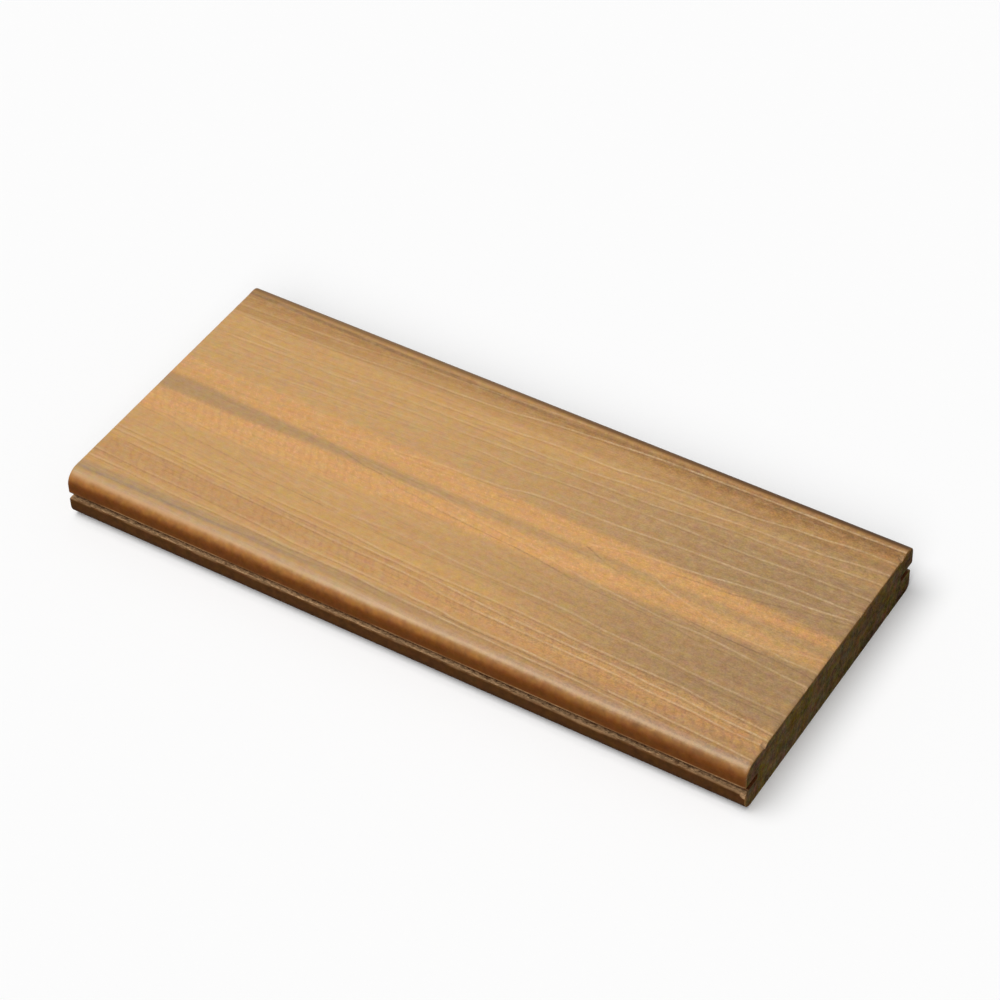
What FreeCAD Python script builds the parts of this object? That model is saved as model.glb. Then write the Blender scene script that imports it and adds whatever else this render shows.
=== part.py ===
import FreeCAD, Part
import os
import Sketcher

# A grooved decking board: one solid length of edge-grooved deck stock.
# Frame in millimetres: X along the board, Y across it (the near edge is at -Y), Z up.
# The origin is the centre of the underside, which rests on the joists.

SIZES = {
    "board_length": 320.0,        # sawn end to sawn end
    "board_width": 140.0,         # over the two upper lips
    "board_thickness": 23.8,      # underside to walking face
    "near_arris_radius": 7.0,     # rounding of the walking face along the near edge
    "far_arris_radius": 4.8,      # tighter rounding along the far edge
    "near_foot_radius": 6.0,      # rounding of the underside along the near edge
    "far_foot_radius": 3.4,       # tighter rounding under the far edge
    "lower_lip_height": 10.2,     # underside to the floor of the clip groove
    "groove_height": 3.0,         # opening of the clip groove
    "groove_depth": 10.2,         # edge face to the back of the clip groove
    "groove_root_radius": 0.5,    # corners left by the groove cutter
    "upper_lip_bevel": 0.6,       # under the nose of each upper lip
    "lower_lip_ease": 0.4,        # top corner of each lower lip
    "far_lip_setback": 1.5,       # far lower lip behind its upper lip
}

# Room for a rounding on a lip's flank: its height less its small bevel and as much flat again.
UPPER_FLANK = ("sizes.board_thickness - sizes.lower_lip_height - sizes.groove_height"
               " - 2 * sizes.upper_lip_bevel")
LOWER_FLANK = "sizes.lower_lip_height - 2 * sizes.lower_lip_ease"

VOLUME_TOLERANCE = 0.001          # share of a cut's volume that rounding may change
PLACE_TOLERANCE = 0.0001          # how near an edge has to be to its worked-out place

doc = FreeCAD.newDocument("decking_board")


def make_sheet():
    """The driving dimensions, one named cell each."""
    table = doc.addObject("Spreadsheet::Sheet", "sizes")
    for row, (name, value) in enumerate(SIZES.items(), start=1):
        table.set(f"A{row}", name)
        table.set(f"B{row}", str(value))
        table.setAlias(f"B{row}", name)
    doc.recompute()
    return table


def size(name):
    return float(sheet.get(name))


def origin_plane(body, role):
    """One of the body's own origin planes."""
    return next(item for item in body.Origin.OriginFeatures if item.Role == role)


def section_sketch(body, name):
    """An empty sketch across the board: its X is the board's Y, its Y is the board's Z."""
    sketch = body.newObject("Sketcher::SketchObject", name)
    sketch.AttachmentSupport = [(origin_plane(body, "YZ_Plane"), "")]
    sketch.MapMode = "FlatFace"
    return sketch


def add_rectangle(sketch, left, bottom, right, top):
    """Four sides in the order bottom, right, top, left, joined and held square."""
    corners = [(left, bottom), (right, bottom), (right, top), (left, top)]
    points = [FreeCAD.Vector(u, v, 0) for u, v in corners]
    for side in range(4):
        sketch.addGeometry(Part.LineSegment(points[side], points[(side + 1) % 4]), False)
    for side in range(4):
        sketch.addConstraint(Sketcher.Constraint("Coincident", side, 2, (side + 1) % 4, 1))
        direction = "Horizontal" if side % 2 == 0 else "Vertical"
        sketch.addConstraint(Sketcher.Constraint(direction, side))


def point(name):
    """A point as Sketcher counts it: its curve, and 1 for the start of that curve."""
    curves = {"origin": -1, "lower left": 0, "lower right": 1, "upper right": 2}
    return (curves[name], 1)


def bind(sketch, kind, first, second, expression, value):
    """A driving dimension from the first point to the second, tied to the sheet."""
    distance = Sketcher.Constraint(kind, *point(first), *point(second), value)
    index = sketch.addConstraint(distance)
    sketch.setExpression(f"Constraints[{index}]", expression)


def stand_on_underside(sketch):
    """Hold the rectangle's lower side on the sketch's horizontal axis."""
    horizontal_axis = -1
    on_axis = Sketcher.Constraint("PointOnObject", *point("lower left"), horizontal_axis)
    sketch.addConstraint(on_axis)


def make_blank(body):
    """The plank before grooving: a rectangle run out equally both ways from the middle."""
    half_width = size("board_width") / 2
    thickness = size("board_thickness")
    sketch = section_sketch(body, "blank_section")
    add_rectangle(sketch, -half_width, 0, half_width, thickness)
    bind(sketch, "DistanceX", "lower left", "origin", "sizes.board_width / 2", half_width)
    bind(sketch, "DistanceX", "lower left", "lower right", "sizes.board_width", 2 * half_width)
    bind(sketch, "DistanceY", "lower right", "upper right", "sizes.board_thickness", thickness)
    stand_on_underside(sketch)
    blank = body.newObject("PartDesign::Pad", "blank")
    blank.Profile = sketch
    blank.SideType = "Symmetric"
    blank.setExpression("Length", "sizes.board_length")
    doc.recompute()


def run_through(body, name, sketch, removed):
    """A cut of the sketched section along the whole board, which must take away material."""
    before = body.Shape.Volume
    cut = body.newObject("PartDesign::Pocket", name)
    cut.Profile = sketch
    cut.SideType = "Symmetric"
    cut.Type = "Length"
    cut.setExpression("Length", "sizes.board_length")
    doc.recompute()
    check_removed(body, name, before, removed)
    return cut


def check_removed(body, name, before, expected):
    """Compare what a cut took away with its section times the board's length."""
    taken = before - body.Shape.Volume
    if abs(taken - expected) > VOLUME_TOLERANCE * expected:
        raise RuntimeError(f"{name} took {taken:.1f} mm3, expected {expected:.1f} mm3")


def cut_grooves(body):
    """The clip groove milled into the near edge, and the same groove mirrored to the far edge."""
    edge = -size("board_width") / 2
    floor = size("lower_lip_height")
    height = size("groove_height")
    depth = size("groove_depth")
    sketch = section_sketch(body, "groove_section")
    add_rectangle(sketch, edge, floor, edge + depth, floor + height)
    bind(sketch, "DistanceX", "lower left", "origin", "sizes.board_width / 2", -edge)
    bind(sketch, "DistanceY", "origin", "lower left", "sizes.lower_lip_height", floor)
    bind(sketch, "DistanceX", "lower left", "lower right", "sizes.groove_depth", depth)
    bind(sketch, "DistanceY", "lower right", "upper right", "sizes.groove_height", height)
    removed = depth * height * size("board_length")
    near_groove = run_through(body, "near_groove", sketch, removed)

    before = body.Shape.Volume
    far_groove = body.newObject("PartDesign::Mirrored", "far_groove")
    far_groove.Originals = [near_groove]
    far_groove.MirrorPlane = (origin_plane(body, "XZ_Plane"), [""])
    body.Tip = far_groove
    doc.recompute()
    check_removed(body, "far_groove", before, removed)


def set_back_far_lip(body):
    """Trim the far lower lip behind the upper one, so that a neighbour's clip can drop in."""
    edge = size("board_width") / 2
    setback = size("far_lip_setback")
    floor = size("lower_lip_height")
    sketch = section_sketch(body, "far_lip_section")
    add_rectangle(sketch, edge - setback, 0, edge, floor)
    bind(sketch, "DistanceX", "origin", "lower right", "sizes.board_width / 2", edge)
    bind(sketch, "DistanceX", "lower left", "lower right", "sizes.far_lip_setback", setback)
    bind(sketch, "DistanceY", "lower right", "upper right", "sizes.lower_lip_height", floor)
    stand_on_underside(sketch)
    run_through(body, "far_lip_trim", sketch, setback * floor * size("board_length"))


def long_edge(body, across, up):
    """Name of the edge that runs along the board at the given Y and Z."""
    middle = FreeCAD.Vector(0, across, up)
    for index, edge in enumerate(body.Shape.Edges, start=1):
        ends = [vertex.Point for vertex in edge.Vertexes]
        if len(ends) == 2 and abs(ends[0].x - ends[1].x) > size("board_length") / 2:
            if (edge.CenterOfMass - middle).Length < PLACE_TOLERANCE:
                return f"Edge{index}"
    raise RuntimeError(f"no long edge at Y {across:.2f}, Z {up:.2f}")


def rounding(radius, flank):
    """A rounding's own radius, or what its flank has room for on a thinner board."""
    return f"min(sizes.{radius}; {flank})"


def dress_edges(body, kind, name, expression, places):
    """A fillet or chamfer on the long edges that run through the given (Y, Z) places."""
    carrier = body.Tip
    edges = [long_edge(body, across, up) for across, up in places]
    dressing = body.newObject(kind, name)
    dressing.Base = (carrier, edges)
    measure = "Radius" if kind == "PartDesign::Fillet" else "Size"
    dressing.setExpression(measure, expression)
    doc.recompute()


def make_board():
    """The whole board: blank, two clip grooves, the far lip's setback and the eased edges."""
    body = doc.addObject("PartDesign::Body", "deck_board")
    body.Label = "deck_board"
    body.Placement = FreeCAD.Placement()
    make_blank(body)
    cut_grooves(body)
    set_back_far_lip(body)

    half_width = size("board_width") / 2
    top = size("board_thickness")
    floor = size("lower_lip_height")
    roof = floor + size("groove_height")
    back = half_width - size("groove_depth")
    far_lip = half_width - size("far_lip_setback")

    dress_edges(body, "PartDesign::Fillet", "near_arris",
                rounding("near_arris_radius", UPPER_FLANK), [(-half_width, top)])
    dress_edges(body, "PartDesign::Fillet", "far_arris",
                rounding("far_arris_radius", UPPER_FLANK), [(half_width, top)])
    dress_edges(body, "PartDesign::Fillet", "near_foot",
                rounding("near_foot_radius", LOWER_FLANK), [(-half_width, 0)])
    dress_edges(body, "PartDesign::Fillet", "far_foot",
                rounding("far_foot_radius", LOWER_FLANK), [(far_lip, 0)])
    dress_edges(body, "PartDesign::Fillet", "groove_roots", "sizes.groove_root_radius",
                [(-back, floor), (-back, roof), (back, floor), (back, roof)])
    dress_edges(body, "PartDesign::Chamfer", "upper_lip_bevels", "sizes.upper_lip_bevel",
                [(-half_width, roof), (half_width, roof)])
    dress_edges(body, "PartDesign::Chamfer", "lower_lip_eases", "sizes.lower_lip_ease",
                [(-half_width, floor), (far_lip, floor)])
    return body


def check_document(bodies):
    """Stop if any object failed or any board is empty, invalid or in more than one piece."""
    for item in doc.Objects:
        if "Invalid" in item.State or "Error" in item.State:
            raise RuntimeError(f"{item.Name} is {item.State}")
    for body in bodies:
        shape = body.Shape
        if shape.isNull() or not shape.isValid() or len(shape.Solids) != 1:
            raise RuntimeError(f"{body.Label} is not one valid solid")


sheet = make_sheet()
boards = [make_board()]
doc.recompute()
check_document(boards)

os.makedirs("parts", exist_ok=True)
for board in boards:
    board.Shape.exportStep(f"parts/{board.Label}.step")
    box = board.Shape.BoundBox
    print(board.Label, f"{board.Shape.Volume:.0f} mm3",
          f"X {box.XMin:.2f}..{box.XMax:.2f}",
          f"Y {box.YMin:.2f}..{box.YMax:.2f}",
          f"Z {box.ZMin:.2f}..{box.ZMax:.2f}")
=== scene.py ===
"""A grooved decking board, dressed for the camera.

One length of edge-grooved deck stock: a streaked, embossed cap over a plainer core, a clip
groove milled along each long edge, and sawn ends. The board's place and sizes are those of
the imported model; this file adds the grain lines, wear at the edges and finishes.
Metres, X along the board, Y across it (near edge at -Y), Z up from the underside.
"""

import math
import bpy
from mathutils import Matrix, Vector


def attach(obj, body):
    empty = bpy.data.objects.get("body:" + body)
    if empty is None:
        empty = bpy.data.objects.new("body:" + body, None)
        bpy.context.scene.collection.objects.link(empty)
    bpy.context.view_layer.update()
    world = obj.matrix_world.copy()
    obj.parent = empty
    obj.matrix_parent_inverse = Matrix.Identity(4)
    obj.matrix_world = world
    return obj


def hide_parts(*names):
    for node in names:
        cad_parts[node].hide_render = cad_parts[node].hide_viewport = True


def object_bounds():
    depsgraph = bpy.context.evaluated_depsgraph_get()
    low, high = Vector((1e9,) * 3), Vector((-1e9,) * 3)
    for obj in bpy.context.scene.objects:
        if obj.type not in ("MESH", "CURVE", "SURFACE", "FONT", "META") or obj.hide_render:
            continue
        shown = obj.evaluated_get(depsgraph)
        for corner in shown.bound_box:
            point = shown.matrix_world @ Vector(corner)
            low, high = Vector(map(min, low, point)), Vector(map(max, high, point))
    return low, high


bl_info = {
    "name": "Grooved Decking Board",
    "version": (1, 0, 0),
    "blender": (4, 5, 0),
    "location": "3D View > Sidebar > Decking",
    "description": "Models and finishes one grooved decking board and its studio stage",
    "category": "Object",
}

import bmesh
import bpy
import numpy as np
from bpy.props import (
    FloatProperty,
    FloatVectorProperty,
    IntProperty,
    PointerProperty,
)
from mathutils import Matrix, Vector

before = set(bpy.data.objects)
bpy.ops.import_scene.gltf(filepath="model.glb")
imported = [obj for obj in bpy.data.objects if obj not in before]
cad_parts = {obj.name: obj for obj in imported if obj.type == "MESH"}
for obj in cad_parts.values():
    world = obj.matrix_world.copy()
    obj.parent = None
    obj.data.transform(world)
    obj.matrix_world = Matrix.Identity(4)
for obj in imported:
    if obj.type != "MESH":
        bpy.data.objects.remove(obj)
CAD_LOW, CAD_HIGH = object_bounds()
CAD_SIZE = CAD_HIGH - CAD_LOW

MM = 0.001


def paint(red, green, blue):
    """A colour as a paint chart gives it, 0 to 255, in the linear values that a shader wants."""
    def linear(part):
        part /= 255
        return part / 12.92 if part <= 0.04045 else ((part + 0.055) / 1.055) ** 2.4
    return (linear(red), linear(green), linear(blue), 1.0)


def length(name, description, millimetres):
    """A size in metres that the sidebar shows, given here in millimetres."""
    return FloatProperty(name=name, description=description, default=millimetres * MM,
                         min=0.0, unit="LENGTH", subtype="DISTANCE", precision=4)


def colour(name, description, *chart):
    """A colour that the sidebar shows, given here from the paint chart."""
    return FloatVectorProperty(name=name, description=description, default=paint(*chart),
                               size=4, min=0.0, max=1.0, subtype="COLOR")


class BoardSizes(bpy.types.PropertyGroup):
    """The board's section and the depth of its surface relief."""
    near_arris: length("Near arris", "Rounding of the walking face along the near edge", 7.0)
    far_arris: length("Far arris", "Tighter rounding along the far edge", 4.8)
    near_foot: length("Near foot", "Rounding of the underside along the near edge", 6.0)
    far_foot: length("Far foot", "Rounding of the underside along the far edge", 3.4)
    lower_lip: length("Lower lip", "Underside to the floor of the clip groove", 10.2)
    groove_height: length("Groove height", "Opening of the clip groove", 3.0)
    groove_depth: length("Groove depth", "Edge face to the back of the clip groove", 10.2)
    groove_root: length("Groove root", "Corner left by the groove cutter", 0.5)
    upper_bevel: length("Upper lip bevel", "Under the nose of each upper lip", 0.6)
    lower_ease: length("Lower lip ease", "Top corner of each lower lip", 0.4)
    far_setback: length("Far lip setback", "Far lower lip behind its upper lip", 1.5)
    grain_width: length("Grain line width", "Width of an embossed grain line", 1.1)
    grain_depth: length("Grain line depth", "Depth of an embossed grain line", 0.16)
    rows: IntProperty(name="Rows across", default=400, min=8,
                      description="Rows of faces across the walking face")
    slices: IntProperty(name="Slices along", default=144, min=8,
                        description="Slices of faces along the board")
    seed: IntProperty(name="Seed", default=7, description="Picks the wear and the grain's waver")


class BoardColours(bpy.types.PropertyGroup):
    """The colours of the cap's streaks and of the core."""
    tan: colour("Tan", "Ground colour of the cap", 197, 151, 94)
    honey: colour("Honey", "Golden streaks", 200, 152, 88)
    peach: colour("Peach", "Orange streaks by the heart line", 212, 157, 94)
    olive: colour("Olive", "Grey-green streaks", 160, 125, 83)
    heart: colour("Heart line", "Grey-brown streak along the middle", 160, 127, 88)
    slate: colour("Slate", "Grey streak by the near arris", 152, 126, 92)
    bruise: colour("Bruise", "Blue-grey smudge along the near arris", 132, 114, 106)
    russet: colour("Russet", "Orange-brown mottled streaks", 184, 132, 78)
    umber: colour("Umber", "Brown streaks along the far edge", 140, 94, 34)
    salmon: colour("Salmon", "Pale pink-orange flecks in the orange streaks", 226, 168, 116)
    fleck: colour("Fleck", "Plum-brown flecks in the orange streaks", 158, 112, 78)
    # Pale grain streaks and specks, and also the painted highlights on the grain lines and along the
    # near arris.
    pale_grain_and_highlight: colour("Scuff", "Rubbed shoulders of the grain lines", 216, 188, 148)
    # Dark grain streaks and specks, and also the painted shade in the bottoms of the grain lines.
    dark_grain_and_groove_shade: colour("Grain shadow", "Dirt held in the grain lines", 112, 80, 44)
    khaki: colour("Khaki", "Cooler side of the cap's cloudy tint", 184, 150, 102)
    # Partly the cap's own darker edge, partly painted shade as the near arris turns away from the
    # overhead lamp.
    ember: colour("Ember", "Orange-brown where the cap turns down over the arris", 160, 105, 47)
    # Partly the edges' own dark brown, partly painted shade on the near flank.
    flank: colour("Flank", "Dark smooth cap on the edges", 124, 72, 31)
    # Partly the far arris's own dark brown, partly painted shade where it turns away from the lamps;
    # it also darkens the lower lips.
    dusk: colour("Dusk", "Dark brown along the far arris", 114, 78, 42)
    core: colour("Core", "Sawn core at the ends", 122, 100, 62)
    # Painted shade deep in the clip grooves, and also the dark reddish mottles of the sawn core.
    slot: colour("Slot", "Scorched core deep in the clip grooves", 104, 58, 28)
    milled: colour("Milled core", "Rough core at the mouth of the clip grooves", 190, 152, 112)


class StudioSettings(bpy.types.PropertyGroup):
    """The camera, lamp and floor."""
    azimuth: FloatProperty(name="Azimuth", default=math.radians(33.467), subtype="ANGLE",
                           description="Camera's turn from the near edge towards the right end")
    elevation: FloatProperty(name="Elevation", default=math.radians(44.260), subtype="ANGLE",
                             description="Camera's height above the floor as an angle")
    roll: FloatProperty(name="Roll", default=math.radians(-2.288), subtype="ANGLE",
                        description="Camera's tilt about its own line of sight")
    distance: length("Distance", "Camera to the middle of the underside", 1323.98)
    right: FloatProperty(name="Right", default=6.292 * MM, unit="LENGTH",
                         description="Camera's move to its own right")
    rise: FloatProperty(name="Rise", default=20.421 * MM, unit="LENGTH",
                        description="Camera's move along its own up")
    lens: FloatProperty(name="Lens", default=115.579, min=1.0, unit="CAMERA",
                        description="Focal length in millimetres for a 36 mm sensor")
    lamp: FloatProperty(name="Overhead lamp", default=2.05, min=0.0,
                        description="Strength of the broad lamp overhead")
    lamp_spread: FloatProperty(name="Overhead spread", default=math.radians(50),
                               subtype="ANGLE", description="Angle that the lamp fills")
    lamp_lean: FloatProperty(name="Overhead lean", default=math.radians(20), subtype="ANGLE",
                             description="The overhead lamp's lean from the vertical")
    lamp_turn: FloatProperty(name="Overhead turn", default=math.radians(-50), subtype="ANGLE",
                             description="Its turn from the near edge towards the right end")
    front: FloatProperty(name="Front lamp", default=1.2, min=0.0,
                         description="Strength of the softer lamp beside the camera")
    front_spread: FloatProperty(name="Front spread", default=math.radians(40),
                                subtype="ANGLE", description="Angle that the lamp fills")
    front_lean: FloatProperty(name="Front lean", default=math.radians(50), subtype="ANGLE",
                              description="The front lamp's lean from the vertical")
    front_turn: FloatProperty(name="Front turn", default=math.radians(20), subtype="ANGLE",
                              description="Its turn from the near edge towards the right end")
    fill: FloatProperty(name="Fill", default=0.17, min=0.0,
                        description="Light from all round")
    floor: length("Floor", "Half the side of the studio floor", 4000.0)


class Signal:
    """A socket of a finish. Arithmetic on it adds Math nodes to that finish."""

    def __init__(self, finish, socket):
        self.finish = finish
        self.socket = socket

    def math(self, operation, *values):
        return self.finish.node("ShaderNodeMath", {"operation": operation}, enumerate(values))

    def __add__(self, other):
        return self.math("ADD", self, other)

    def __sub__(self, other):
        return self.math("SUBTRACT", self, other)

    def __rsub__(self, other):
        return self.math("SUBTRACT", other, self)

    def __mul__(self, other):
        return self.math("MULTIPLY", self, other)

    def __truediv__(self, other):
        return self.math("DIVIDE", self, other)

    def __neg__(self):
        return self.math("MULTIPLY", self, -1.0)

    def __abs__(self):
        return self.math("ABSOLUTE", self)

    __radd__ = __add__
    __rmul__ = __mul__

    def ramp(self, start, stop):
        """Eases from 0 at start to 1 at stop, whichever of the two is larger."""
        settings = {"interpolation_type": "SMOOTHSTEP"}
        values = {"Value": self, "From Min": start, "From Max": stop}
        return self.finish.node("ShaderNodeMapRange", settings, values.items())


class Finish:
    """A procedural material being made."""

    def __init__(self, name):
        self.material = bpy.data.materials.new(name)
        self.material.use_nodes = True
        self.tree = self.material.node_tree
        self.tree.nodes.clear()

    def node(self, kind, settings=(), values=(), output=0):
        """Adds a node: its settings first, then a value or a link for each named socket."""
        node = self.tree.nodes.new(kind)
        for name, value in dict(settings).items():
            setattr(node, name, value)
        for key, value in values:
            if isinstance(value, Signal):
                self.tree.links.new(value.socket, node.inputs[key])
            else:
                node.inputs[key].default_value = value
        return Signal(self, node.outputs[output])

    def place(self):
        """Where a point lies on the board, in millimetres: the vector and its three parts."""
        point = self.node("ShaderNodeTexCoord", output="Object")
        point = self.node("ShaderNodeVectorMath", {"operation": "SCALE"},
                          {"Vector": point, "Scale": 1 / MM}.items())
        parts = [self.node("ShaderNodeSeparateXYZ", values={"Vector": point}.items(), output=axis)
                 for axis in range(3)]
        return point, *parts

    def noise(self, point, pitch, detail=2.0, roughness=0.5, seed=0.0):
        """Noise between about -1 and 1, with the given pitch in millimetres along X, Y and Z."""
        mapped = self.node("ShaderNodeMapping", {"vector_type": "TEXTURE"},
                           {"Vector": point, "Location": (seed, seed * 0.7, seed * 0.4),
                            "Scale": pitch}.items())
        values = {"Vector": mapped, "Scale": 1.0, "Detail": detail, "Roughness": roughness}
        return self.node("ShaderNodeTexNoise", {}, values.items()) * 2.0 - 1.0

    def attribute(self, name):
        """A value that the mesh carries at each of its corners."""
        return self.node("ShaderNodeAttribute", {"attribute_name": name}, output="Fac")

    def mix(self, amount, first, second, blend="MIX"):
        """The second colour laid over the first by the amount."""
        settings = {"data_type": "RGBA", "blend_type": blend, "clamp_factor": True}
        return self.node("ShaderNodeMix", settings, {0: amount, 6: first, 7: second}.items(), 2)

    def tone(self, base, gain):
        """The colour made lighter or darker by a factor that varies over the surface."""
        plain = base if isinstance(base, Signal) else tuple(base)[:3]
        return self.node("ShaderNodeVectorMath", {"operation": "SCALE"},
                         {"Vector": plain, "Scale": gain}.items())

    def bump(self, height, distance, under=None):
        """Fine relief: height between -1 and 1, times the distance in metres."""
        values = {"Strength": 1.0, "Distance": distance, "Height": height}
        if under is not None:
            values["Normal"] = under
        return self.node("ShaderNodeBump", {}, values.items())

    def surface(self, **values):
        """Ends the finish in a Principled surface with the given sockets."""
        named = {name.replace("_", " "): value for name, value in values.items()}
        shader = self.node("ShaderNodeBsdfPrincipled", {}, named.items())
        self.node_output(shader)
        return self.material

    def node_output(self, shader):
        output = self.tree.nodes.new("ShaderNodeOutputMaterial")
        self.tree.links.new(shader.socket, output.inputs["Surface"])


# Modelling helpers


def deselect_objects():
    for item in bpy.context.selected_objects:
        item.select_set(False)


def pick(board, kind, wanted):
    """In edit mode, select only the vertices, edges or faces that pass the test."""
    modes = {"verts": "VERT", "edges": "EDGE", "faces": "FACE"}
    bpy.ops.mesh.select_mode(type=modes[kind])
    bpy.ops.mesh.select_all(action="DESELECT")
    form = bmesh.from_edit_mesh(board.data)
    found = [item for item in getattr(form, kind) if wanted(item)]
    if not found:
        raise RuntimeError(f"no {kind} of the board to select")
    for item in found:
        item.select_set(True)
    bmesh.update_edit_mesh(board.data)


def cut(board, place, direction):
    """Bisect everything with a plane through the place, square to the direction."""
    bpy.ops.mesh.select_all(action="SELECT")
    bpy.ops.mesh.bisect(plane_co=place, plane_no=direction)


def at(point, across, up):
    return abs(point.y - across) < 0.01 * MM and abs(point.z - up) < 0.01 * MM


def round_corner(board, across, up, radius, segments):
    """Round or bevel the one corner of the section at the given Y and Z."""
    pick(board, "verts", lambda corner: at(corner.co, across, up))
    bpy.ops.mesh.bevel(offset=radius, offset_type="OFFSET", segments=segments, profile=0.5,
                       affect="VERTICES", clamp_overlap=False)


def divide(board, wanted, pieces):
    """Divide each edge that passes the test into so many pieces, a hundred at a time at most."""
    for factor in sorted(divisors(pieces), reverse=True):
        pick(board, "edges", wanted)
        bpy.ops.mesh.subdivide(number_cuts=factor - 1)


def divisors(number):
    """The number as factors of at most a hundred, as few as its primes allow."""
    factors = [1]
    for prime in range(2, number + 1):
        while number % prime == 0:
            number //= prime
            if factors[-1] * prime <= 100:
                factors[-1] *= prime
            else:
                factors.append(prime)
    return [factor for factor in factors if factor > 1]


def divide_side(board, first, last, pieces):
    """Divide the straight side of the section between two (Y, Z) places."""
    start = Vector((0, *first))
    line = Vector((0, *last)) - start

    def on_side(edge):
        for vertex in edge.verts:
            reach = Vector((0, vertex.co.y, vertex.co.z)) - start
            share = reach.dot(line) / line.length_squared
            if (reach - line * share).length > 0.005 * MM or not -1e-3 < share < 1.001:
                return False
        return True

    divide(board, on_side, pieces)


def make_section(board, sizes):
    """Shape the plane at the left end into the board's section."""
    half = CAD_SIZE.y / 2
    top = CAD_SIZE.z
    floor = sizes.lower_lip
    roof = floor + sizes.groove_height
    back = half - sizes.groove_depth
    far_lip = half - sizes.far_setback

    for up in (floor, roof):
        cut(board, (0, 0, up), (0, 0, 1))
    for across in (-back, back, far_lip):
        cut(board, (0, across, 0), (0, 1, 0))

    def removed(face):
        centre = face.calc_center_median()
        in_groove = abs(centre.y) > back and floor < centre.z < roof
        return in_groove or (centre.y > far_lip and centre.z < floor)

    pick(board, "faces", removed)
    bpy.ops.mesh.delete(type="FACE")
    bpy.ops.mesh.select_all(action="SELECT")
    bpy.ops.mesh.dissolve_limited(angle_limit=math.radians(1))

    round_corner(board, -half, top, sizes.near_arris, 18)
    round_corner(board, half, top, sizes.far_arris, 12)
    round_corner(board, -half, 0, sizes.near_foot, 8)
    round_corner(board, far_lip, 0, sizes.far_foot, 6)
    for across in (-back, back):
        for up in (floor, roof):
            round_corner(board, across, up, sizes.groove_root, 3)
    for across in (-half, half):
        round_corner(board, across, roof, sizes.upper_bevel, 2)
    for across in (-half, far_lip):
        round_corner(board, across, floor, sizes.lower_ease, 2)

    divide_side(board, (-half + sizes.near_arris, top), (half - sizes.far_arris, top), sizes.rows)
    divide_side(board, (-half + sizes.near_foot, 0), (far_lip - sizes.far_foot, 0), 20)
    divide_side(board, (-half, sizes.near_foot), (-half, floor - sizes.lower_ease), 14)
    divide_side(board, (-half, roof + sizes.upper_bevel), (-half, top - sizes.near_arris), 14)
    divide_side(board, (-half + sizes.lower_ease, floor), (-back - sizes.groove_root, floor), 18)
    divide_side(board, (-half + sizes.upper_bevel, roof), (-back - sizes.groove_root, roof), 8)
    divide_side(board, (-back, floor), (-back, roof), 3)
    divide_side(board, (far_lip, sizes.far_foot), (far_lip, floor - sizes.lower_ease), 8)
    divide_side(board, (half, roof + sizes.upper_bevel), (half, top - sizes.far_arris), 8)
    divide_side(board, (far_lip - sizes.lower_ease, floor), (back + sizes.groove_root, floor), 10)
    divide_side(board, (half - sizes.upper_bevel, roof), (back + sizes.groove_root, roof), 8)
    divide_side(board, (back, floor), (back, roof), 3)


def run_out(board, sizes):
    """Extrude the section to the right end and slice it along its length."""
    bpy.ops.mesh.select_all(action="SELECT")
    bpy.ops.mesh.extrude_region_move(TRANSFORM_OT_translate={"value": (CAD_SIZE.x, 0, 0)})
    divide(board, lambda edge: abs(edge.verts[0].co.x - edge.verts[1].co.x) > 0.5 * MM,
           sizes.slices)
    for inset in (0.35, 0.9, 1.7):
        for end in (-1, 1):
            cut(board, (end * (CAD_SIZE.x / 2 - inset * MM), 0, 0), (1, 0, 0))
    bpy.ops.mesh.select_all(action="SELECT")
    bpy.ops.mesh.remove_doubles(threshold=0.002 * MM)
    bpy.ops.mesh.select_all(action="SELECT")
    bpy.ops.mesh.normals_make_consistent(inside=False)


# Surface relief, worked out in millimetres


def ease(value, start, stop):
    """Eases from 0 at start to 1 at stop."""
    share = np.clip((value - start) / (stop - start), 0, 1)
    return share * share * (3 - 2 * share)


def waver(along, seed, pitch):
    """A gentle wander between about -1 and 1 along the board."""
    turn = np.random.default_rng(seed).uniform(0, math.tau, 3)
    share = math.tau * along / pitch
    return (np.sin(share + turn[0]) * 0.55 + np.sin(share * 2.3 + turn[1]) * 0.3
            + np.sin(share * 4.9 + turn[2]) * 0.15)


HEART_ACROSS = 4.0     # the embossed rings close on this line, just beyond the middle
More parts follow.
